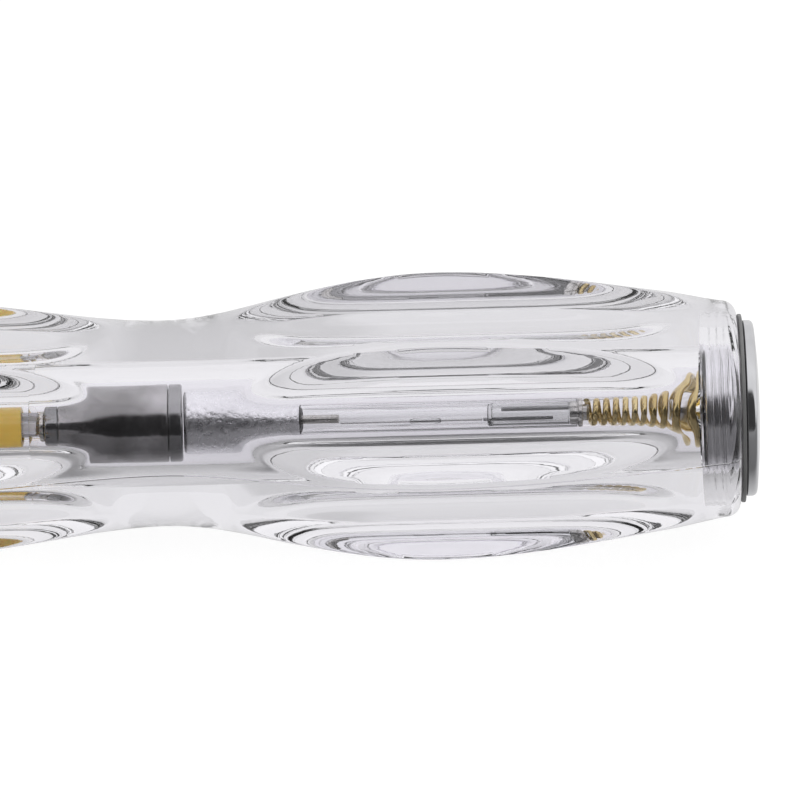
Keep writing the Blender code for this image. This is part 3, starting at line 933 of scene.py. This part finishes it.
@dataclass
class TesterTrain:
    """The resistor, the contact pieces and the neon lamp that lie one behind the other in the bore."""

    washer_radius: float = 2.7
    rod_radius: float = 3.45
    cap_wall: float = 0.35
    cap_depth: float = 1.3
    cup_radius: float = 2.8
    cup_socket: float = 3.2
    lamp_radius: float = 2.6
    lamp_wall: float = 0.35
    pin_radius: float = 0.8
    button_radius: float = 1.5
    button_rise: float = 0.6
    flange: float = 0.4
    tube_radius: float = 2.05
    tube_wall: float = 0.35
    electrode_radius: float = 0.35
    electrode_offset: float = 1.0
    lead_radius: float = 0.2
    bead_radius: float = 0.65
    bead_points: int = 24
    bead_steps: int = 48
    hole_steps: int = 40
    steps: int = 96

    def turned(self, name: str, node: str, finish: Finish, corners: Outline, rounds: list[float],
               centre: tuple[float, float] = (0.0, 0.0), closed: bool = False) -> None:
        """Build one turned piece in its CAD node's place.

        Args:
            name: The piece's name.
            node: The CAD node.
            finish: The finish.
            corners: The outline's corners.
            rounds: The rounding of each corner.
            centre: The axis's place across the tool.
            closed: Whether the outline's ends meet off the axis.
        """
        work = bmesh.new()
        spin(work, softened(corners, rounds), self.steps, centre, closed)
        fit(settle(work, name, finish), node)

    def rod(self, name: str, node: str, finish: Finish, radius: float, rounds: tuple[float, float],
            centre: tuple[float, float] = (0.0, 0.0)) -> None:
        """Build one plain rod or disc in its CAD node's place.

        Args:
            name: The piece's name.
            node: The CAD node.
            finish: The finish.
            radius: The rod's radius.
            rounds: The rounding of its front and of its rear edge.
            centre: The axis's place across the tool.
        """
        front, rear = span_of(node)
        corners = [(front, 0.0), (front, radius), (rear, radius), (rear, 0.0)]
        self.turned(name, node, finish, corners, [0.0, *rounds, 0.0], centre)

    def build_resistor(self) -> None:
        """Build the contact washer, the carbon rod and its two pressed caps."""
        self.rod("front_washer", "contact_washer", NICKEL, self.washer_radius, (0.1, 0.1))
        front, rear = span_of("resistor_body")
        first = span_of("resistor_front_cap")
        last = span_of("resistor_rear_cap")
        seat = self.rod_radius - self.cap_wall - SLACK
        corners = [
            (front, 0.0),
            (front, seat),
            (first[1] + SLACK, seat),
            (first[1] + SLACK, self.rod_radius),
            (last[0] - SLACK, self.rod_radius),
            (last[0] - SLACK, seat),
            (rear, seat),
            (rear, 0.0),
        ]
        rounds = [0.0, 0.1, 0.05, 0.12, 0.12, 0.05, 0.1, 0.0]
        self.turned("carbon_rod", "resistor_body", CARBON, corners, rounds)
        inner = self.rod_radius - self.cap_wall
        for name, node, face, side in (
            ("front_pressed_cap", "resistor_front_cap", first[0], 1),
            ("rear_pressed_cap", "resistor_rear_cap", last[1], -1),
        ):
            corners = [
                (face, 0.0),
                (face, self.rod_radius),
                (face + side * self.cap_depth, self.rod_radius),
                (face + side * self.cap_depth, inner),
                (face + side * self.cap_wall, inner),
                (face + side * self.cap_wall, 0.0),
            ]
            self.turned(name, node, DARK_METAL, corners, [0.0, 0.3, 0.08, 0.0, 0.1, 0.0])

    def build_cup(self) -> None:
        """Build the frosted cup that takes the lamp's front end."""
        front, rear = span_of("contact_cup")
        inner = self.lamp_radius + SLACK
        floor = rear - self.cup_socket
        corners = [
            (front, 0.0),
            (front, self.cup_radius),
            (rear, self.cup_radius),
            (rear, inner),
            (floor, inner),
            (floor, 0.0),
        ]
        rounds = [0.0, 0.5, 0.06, 0.0, 0.2, 0.0]
        self.turned("frosted_cup", "contact_cup", ALUMINIUM, corners, rounds)

    def build_envelope(self) -> None:
        """Build the lamp's envelope and the pin in its foot."""
        front, rear = span_of("lamp_envelope")
        outer = self.lamp_radius
        inner = outer - self.lamp_wall
        hole = self.pin_radius + SLACK
        corners = [
            (front, hole),
            (front, outer),
            (rear, outer),
            (rear, inner),
            (front + self.lamp_wall, inner),
            (front + self.lamp_wall, hole),
        ]
        rounds = [0.05, 0.7, 0.1, 0.1, 0.5, 0.05]
        self.turned("lamp_bulb", "lamp_envelope", GLASS, corners, rounds, closed=True)
        self.rod("lamp_foot_pin", "lamp_front_pin", NICKEL, self.pin_radius, (0.1, 0.2))

    def build_end_cap(self) -> None:
        """Build the cap that closes the lamp, with the button that the spring presses on."""
        front, rear = span_of("lamp_rear_cap")
        plug = self.lamp_radius - self.lamp_wall - SLACK
        face = rear - self.button_rise
        seat = face - self.flange
        corners = [
            (front, 0.0),
            (front, plug),
            (seat, plug),
            (seat, self.lamp_radius),
            (face, self.lamp_radius),
            (face, self.button_radius),
            (rear, self.button_radius),
            (rear, 0.0),
        ]
        rounds = [0.0, 0.1, 0.0, 0.08, 0.12, 0.05, 0.3, 0.0]
        self.turned("lamp_end_cap", "lamp_rear_cap", NICKEL, corners, rounds)

    def build_electrodes(self) -> None:
        """Build the lamp's inner tube and its two electrodes."""
        front, rear = span_of("electrode_tube")
        inside = self.tube_radius - self.tube_wall
        corners = [
            (front, 0.0),
            (front, self.tube_radius),
            (rear, self.tube_radius),
            (rear, inside),
            (front + self.tube_wall, inside),
            (front + self.tube_wall, 0.0),
        ]
        work = bmesh.new()
        spin(work, softened(corners, [0.0, 0.3, 0.08, 0.08, 0.2, 0.0]), self.steps)
        tube = settle(work, "inner_tube", GLASS)
        self.pierce(tube, front)
        fit(tube, "electrode_tube")
        for name, node, side in (("lower_rod", "front_electrode", -1), ("upper_rod", "rear_electrode", 1)):
            centre = (0.0, side * self.electrode_offset)
            self.rod(name, node, ROD, self.electrode_radius, (0.08, 0.08), centre)

    def pierce(self, tube: bpy.types.Object, front: float) -> None:
        """Cut the hole for the front electrode in the inner tube's end wall.

        Args:
            tube: The tube.
            front: Where the tube starts.
        """
        overrun = 1.0
        ends = (front - overrun, front + self.tube_wall + overrun)
        hole = self.electrode_radius + SLACK
        outline = [(ends[0], 0.0), (ends[0], hole), (ends[1], hole), (ends[1], 0.0)]
        work = bmesh.new()
        spin(work, outline, self.hole_steps, (0.0, -self.electrode_offset))
        cutter = settle(work, "lead_hole", GLASS)
        modifier = tube.modifiers.new("lead_hole", "BOOLEAN")
        modifier.operation = "DIFFERENCE"
        modifier.object = cutter
        bpy.context.view_layer.update()
        shaped = bpy.data.meshes.new_from_object(tube.evaluated_get(bpy.context.evaluated_depsgraph_get()))
        tube.modifiers.clear()
        tube.data = shaped
        bpy.data.objects.remove(cutter)

    def build_lead(self) -> None:
        """Build the lead wire and the glass bead on it."""
        centre = (0.0, -self.electrode_offset)
        self.rod("lead_wire", "lamp_lead", WIRE, self.lead_radius, (0.05, 0.05), centre)
        front, rear = span_of("lead_bead")
        hole = self.lead_radius + SLACK
        middle = (front + rear) / 2
        half = (rear - front) / 2
        swell = self.bead_radius - hole
        outline = [(rear, hole), (front, hole)]
        for step in range(1, self.bead_points):
            angle = math.pi * (1 - step / self.bead_points)
            outline.append((middle + half * math.cos(angle), hole + swell * math.sin(angle)))
        work = bmesh.new()
        spin(work, outline, self.bead_steps, centre, closed=True)
        fit(settle(work, "glass_bead", GLASS), "lead_bead")

    def build(self) -> None:
        """Build the whole train."""
        self.build_resistor()
        self.build_cup()
        self.build_envelope()
        self.build_end_cap()
        self.build_electrodes()
        self.build_lead()


@dataclass
class ContactSpring:
    """The brass coil spring that holds the train together and widens towards the plug."""

    front_radius: float = 2.5
    rear_radius: float = 3.5
    wire: float = 0.58
    turns: int = 10
    points_per_turn: int = 36
    crease: float = 60.0

    def path(self) -> bpy.types.Object:
        """Return the spring's wire as a curve object."""
        front, rear = span_of("contact_spring")
        front += self.wire / 2
        rear -= self.wire / 2
        widening = self.rear_radius - self.front_radius
        curve = bpy.data.curves.new("spring_path", "CURVE")
        curve.dimensions = "3D"
        curve.bevel_depth = self.wire / 2 * MM
        curve.bevel_resolution = 4
        curve.use_fill_caps = True
        count = self.turns * self.points_per_turn
        line = curve.splines.new("POLY")
        line.points.add(count)
        for step, point in enumerate(line.points):
            share = step / count
            radius = self.front_radius + widening * share * share - self.wire / 2
            angle = 2 * math.pi * step / self.points_per_turn
            along = front + (rear - front) * share
            place = Vector((along, radius * math.sin(angle), radius * math.cos(angle)))
            point.co = (*(place * MM), 1.0)
        path = bpy.data.objects.new("spring_path", curve)
        bpy.context.collection.objects.link(path)
        return path

    def build(self) -> None:
        """Build the spring as one unbroken wire."""
        path = self.path()
        bpy.context.view_layer.update()
        data = bpy.data.meshes.new_from_object(path.evaluated_get(bpy.context.evaluated_depsgraph_get()))
        bpy.data.objects.remove(path)
        work = bmesh.new()
        work.from_mesh(data)
        spring = settle(work, "brass_spring", BRASS, self.crease)
        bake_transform(spring)
        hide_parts("contact_spring")
        LOG.info("brass_spring stands for contact_spring and stretches with the plug")


@dataclass
class TailCap:
    """The screwed tail: the threaded plug, the seal under the cap and the domed touch cap."""

    plug_radius: float = 5.6
    plug_length: float = 4.1
    plug_chamfer: float = 0.4
    plug_rear_chamfer: float = 0.1
    spigot_radius: float = 1.7
    spigot_length: float = 1.8
    boss_radius: float = 3.0
    thread_depth: float = 0.34
    thread_fade: float = 0.3
    thread_crease: float = 60.0
    seal_inner: float = 5.8
    seal_outer: float = 8.35
    cap_radius: float = 7.8
    cap_crown: float = 0.35
    cap_flat: float = 4.0
    pocket_depth: float = 0.6
    rim: float = 0.5
    crown_round: float = 1.6
    steps: int = 128

    def build_plug(self) -> None:
        """Build the plug, whose thread has the pitch of the joint's coupling."""
        front, rear = span_of("tail_plug")
        plug_front = front + self.spigot_length
        plug_rear = plug_front + self.plug_length
        threaded = self.plug_length - self.plug_chamfer - self.plug_rear_chamfer
        turns = round(threaded / THREAD_PITCH * THREAD_POINTS)
        spigot = [(front, 0.0), (front, self.spigot_radius), (plug_front, self.spigot_radius)]
        outline = softened(spigot, [0.0, 0.3, 0.0])
        outline.append((plug_front, self.plug_radius - self.plug_chamfer))
        start = plug_front + self.plug_chamfer
        outline += [(start + threaded * i / turns, self.plug_radius) for i in range(turns + 1)]
        outline += [
            (plug_rear, self.plug_radius - self.plug_rear_chamfer),
            (plug_rear, self.boss_radius),
            (rear, self.boss_radius),
            (rear, 0.0),
        ]

        def grooved(x: float, radius: float, angle: float) -> float | None:
            """Return a vertex's radius with the thread's groove cut."""
            if abs(radius - self.plug_radius) > ON_WALL:
                return None
            fade = min(1.0, (plug_rear - self.plug_rear_chamfer - x) / self.thread_fade)
            return radius - self.thread_depth * thread_wave(x, angle) * max(fade, 0.0)

        work = bmesh.new()
        spin(work, outline, self.steps)
        reshape(work, grooved)
        plug = settle(work, "threaded_plug", PLUG_PLATE, self.thread_crease)
        fit(plug, "tail_plug", Body.CAP)

    def build_seal(self) -> None:
        """Build the flat seal between the handle's end and the cap."""
        front, rear = span_of("seal_washer")
        corners = [
            (front, self.seal_inner),
            (front, self.seal_outer),
            (rear, self.seal_outer),
            (rear, self.seal_inner),
        ]
        work = bmesh.new()
        spin(work, softened(corners, [0.0, 0.1, 0.1, 0.0]), self.steps, closed=True)
        fit(settle(work, "flat_seal", SEAL), "seal_washer", Body.WASHER)

    def build_cap(self) -> None:
        """Build the touch cap, a plated disc with a soft rim and a low crown."""
        front, rear = span_of("touch_cap")
        pocket = self.boss_radius + SLACK
        pocket_floor = front + self.pocket_depth
        shoulder = rear - self.cap_crown
        corners = [
            (pocket_floor, 0.0),
            (pocket_floor, pocket),
            (front, pocket),
            (front, self.cap_radius),
            (shoulder, self.cap_radius),
            (rear, self.cap_flat),
            (rear, 0.0),
        ]
        rounds = [0.0, 0.0, 0.1, 0.12, self.rim, self.crown_round, 0.0]
        work = bmesh.new()
        spin(work, softened(corners, rounds, 8), self.steps)
        fit(settle(work, "touch_disc", CAP_PLATE), "touch_cap", Body.CAP)

    def build(self) -> None:
        """Build the plug, the seal and the cap."""
        self.build_plug()
        self.build_seal()
        self.build_cap()


@dataclass(frozen=True)
class Shade:
    """A painted shadow of the handle: an oval of the floor that is darkened, and the share of light left
    there.
    """

    along: float
    across: float
    reach_along: float
    reach_across: float
    light_left: float


@dataclass
class Studio:
    """The floor that the handle lies on, the light round it and the camera.

    The floor's painted fall-off, a painted shade that darkens the floor in gloss and glass towards its
    front, and the dome are grey levels against a share. The share runs from the floor's front to its back
    over twice the painted fall-off's reach, and on the dome from away from dark_towards to straight at it. A
    painted shade is endless upwards, so that the floor's slope plays no part in it.
    """

    rear_rest: float = 167.6
    front_rest: float = 122.5
    rest_gap: float = 0.02
    tilt: float = 1.75
    floor_reach: float = 1500.0
    floor_grey: float = 0.18
    floor_lift: float = 0.9
    # Painted shade: the floor's level in gloss and glass, darker towards its front and darkest just in front
    # of the handle.
    painted_floor_falloff: Marks = ((0.0, 0.1), (1.0, 0.62), (0.455, 0.03), (0.49, 0.55), (0.53, 0.62))
    painted_falloff_reach: float = 150.0
    floor_through: float = 0.62
    # Painted shadows of the handle: ovals of the floor darkened in gloss and glass under the rear bulge, the
    # front bulge and the neck.
    painted_shades: tuple[Shade, ...] = (
        Shade(169.0, -4.8, 17.0, 3.1, 0.06),
        Shade(122.5, -4.8, 15.0, 3.1, 0.4),
        Shade(149.0, 14.0, 13.0, 11.0, 0.8),
    )
    shade_core: float = 0.7
    shade_edge: float = 1.2
    endless: float = 1.0e6
    dark_towards: tuple[float, float, float] = (0.0, -1.0, -0.1)
    dome: Marks = ((0.0, 0.86), (1.0, 0.045), (0.5, 1.0), (0.735, 0.97), (0.79, 0.07))
    even_dome: float = 1.0
    sensor: float = 36.0
    picture_width: float = 70.92
    distance: float = 600.0
    elevation: float = 30.0
    aim: float = 164.04
    aim_rise: float = 1.51

    def build_floor(self) -> None:
        """Build the pale floor, which touches both bulges."""
        handle = Handle()
        rear = handle.lowest(self.rear_rest)
        front = handle.lowest(self.front_rest)
        slope = math.atan2(rear - front, self.rear_rest - self.front_rest)
        work = bmesh.new()
        bmesh.ops.create_grid(work, x_segments=2, y_segments=2, size=self.floor_reach * MM)
        bmesh.ops.rotate(work, verts=work.verts, matrix=Matrix.Rotation(slope, 3, "Y"))
        place = Vector((self.rear_rest, 0.0, -rear - self.rest_gap))
        bmesh.ops.translate(work, verts=work.verts, vec=place * MM)
        data = bpy.data.meshes.new("pale_floor")
        work.to_mesh(data)
        work.free()
        floor = bpy.data.objects.new("pale_floor", data)
        bpy.context.collection.objects.link(floor)
        data.materials.append(self.floor_finish())
        LOG.info("pale_floor is part of the stage")

    def floor_finish(self) -> bpy.types.Material:
        """Return the floor's material.

        It shows white to the camera and greyer in gloss and glass. Its painted shade, a dark front, shows
        only to rays that were mirrored on their way, and painted shadows of the handle darken ovals of it in
        gloss and glass.
        """
        material = bpy.data.materials.new("pale_floor")
        material.use_nodes = True
        wiring = Wiring(material.node_tree)
        wiring.tree.nodes.clear()
        place = wiring.add("TexCoord").outputs["Object"]
        path = wiring.add("LightPath").outputs
        reach = self.painted_falloff_reach * MM
        # Painted shade: the floor's level falls off towards its front.
        share = wiring.spread(wiring.parts(place)["Y"], 0.0, 1.0, -reach, reach)
        mirrored = wiring.reckon("MINIMUM", path["Glossy Depth"], 1.0)
        painted_level = wiring.mixed(mirrored, grey(self.floor_through), wiring.levels(share, self.painted_floor_falloff))
        # Each painted shadow darkens an oval of the floor's level.
        for shade in self.painted_shades:
            painted_level = self.paint_shade(wiring, place, painted_level, shade)
        indirect = wiring.reckon("ADD", path["Is Glossy Ray"], path["Is Transmission Ray"], clamp=True)
        shown = wiring.reckon("MULTIPLY", indirect, painted_level)
        glow = wiring.add("Emission")
        strength = wiring.reckon("MULTIPLY_ADD", path["Is Camera Ray"], self.floor_lift, shown)
        wiring.feed(glow.inputs["Strength"], strength)
        matte = wiring.add("BsdfDiffuse")
        matte.inputs["Color"].default_value = grey(self.floor_grey)
        both = wiring.add("AddShader")
        wiring.feed(both.inputs[0], matte.outputs[0])
        wiring.feed(both.inputs[1], glow.outputs[0])
        wiring.feed(wiring.add("OutputMaterial").inputs["Surface"], both.outputs[0])
        return material

    def paint_shade(self, wiring: Wiring, place: Socket, painted_level: Socket, shade: Shade) -> Socket:
        """Paint a shade into an oval of the floor.

        Args:
            wiring: The floor's node tree.
            place: The floor's coordinates.
            painted_level: The floor's level without the shade.
            shade: The oval.

        Returns:
            The socket with the darkened level.
        """
        mapping = wiring.add("Mapping", vector_type="TEXTURE")
        mapping.inputs["Location"].default_value = (shade.along * MM, shade.across * MM, 0.0)
        reach = Vector((shade.reach_along, shade.reach_across, self.endless))
        mapping.inputs["Scale"].default_value = reach * MM
        wiring.feed(mapping.inputs["Vector"], place)
        away = wiring.add("VectorMath", operation="LENGTH")
        wiring.feed(away.inputs[0], mapping.outputs["Vector"])
        light = wiring.spread(
            away.outputs["Value"], shade.light_left, 1.0, self.shade_core, self.shade_edge, "SMOOTHSTEP"
        )
        return wiring.reckon("MULTIPLY", painted_level, light)

    def build_light(self) -> None:
        """Build the soft dome.

        Gloss and glass see a dark sector towards the camera, and matte surfaces an even sky. The camera
        sees plain white.
        """
        world = bpy.data.worlds.new("studio")
        bpy.context.scene.world = world
        world.use_nodes = True
        wiring = Wiring(world.node_tree)
        wiring.tree.nodes.clear()
        path = wiring.add("LightPath").outputs
        facing = wiring.add("VectorMath", operation="DOT_PRODUCT")
        facing.inputs[1].default_value = Vector(self.dark_towards).normalized()
        wiring.feed(facing.inputs[0], wiring.add("TexCoord").outputs["Generated"])
        sky = wiring.levels(wiring.spread(facing.outputs["Value"], 0.0, 1.0, -1.0, 1.0), self.dome)
        matte = wiring.reckon("MINIMUM", path["Diffuse Depth"], 1.0)
        dome = wiring.add("Background")
        wiring.feed(dome.inputs["Color"], wiring.mixed(matte, sky, grey(self.even_dome)))
        backdrop = wiring.add("Background")
        backdrop.inputs["Color"].default_value = grey(1.0)
        both = wiring.add("MixShader")
        wiring.feed(both.inputs[0], path["Is Camera Ray"])
        wiring.feed(both.inputs[1], dome.outputs[0])
        wiring.feed(both.inputs[2], backdrop.outputs[0])
        wiring.feed(wiring.add("OutputWorld").inputs["Surface"], both.outputs[0])

    def build_camera(self) -> None:
        """Aim the camera down at the rear of the handle, level with the floor."""
        turn = Matrix.Rotation(math.radians(self.tilt), 3, "Y")
        raised = math.radians(self.elevation)
        back = turn @ Vector((0.0, -math.cos(raised), math.sin(raised)))
        up = turn @ Vector((0.0, math.sin(raised), math.cos(raised)))
        right = up.cross(back)
        data = bpy.data.cameras.new("camera")
        data.sensor_width = self.sensor
        data.lens = self.sensor * self.distance / self.picture_width
        data.clip_start = 0.05
        data.clip_end = 20.0
        data.dof.use_dof = False
        camera = bpy.data.objects.new("camera", data)
        bpy.context.collection.objects.link(camera)
        place = Vector((self.aim, 0.0, 0.0)) + up * self.aim_rise + back * self.distance
        matrix = Matrix((right, up, back)).transposed().to_4x4()
        matrix.translation = place * MM
        camera.matrix_world = matrix
        bpy.context.scene.camera = camera

    def build(self) -> None:
        """Build the floor, the light and the camera."""
        self.build_camera()
        self.build_floor()
        self.build_light()


def main() -> None:
    """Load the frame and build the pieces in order."""
    logging.basicConfig(level=logging.INFO, format="%(name)s: %(message)s")
    bpy.context.scene.view_settings.view_transform = "Standard"
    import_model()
    for group in (Studio(), Handle(), Shank(), TesterTrain(), ContactSpring(), TailCap()):
        group.build()
        LOG.info("%s is built", type(group).__name__)


if __name__ == "__main__":
    main()
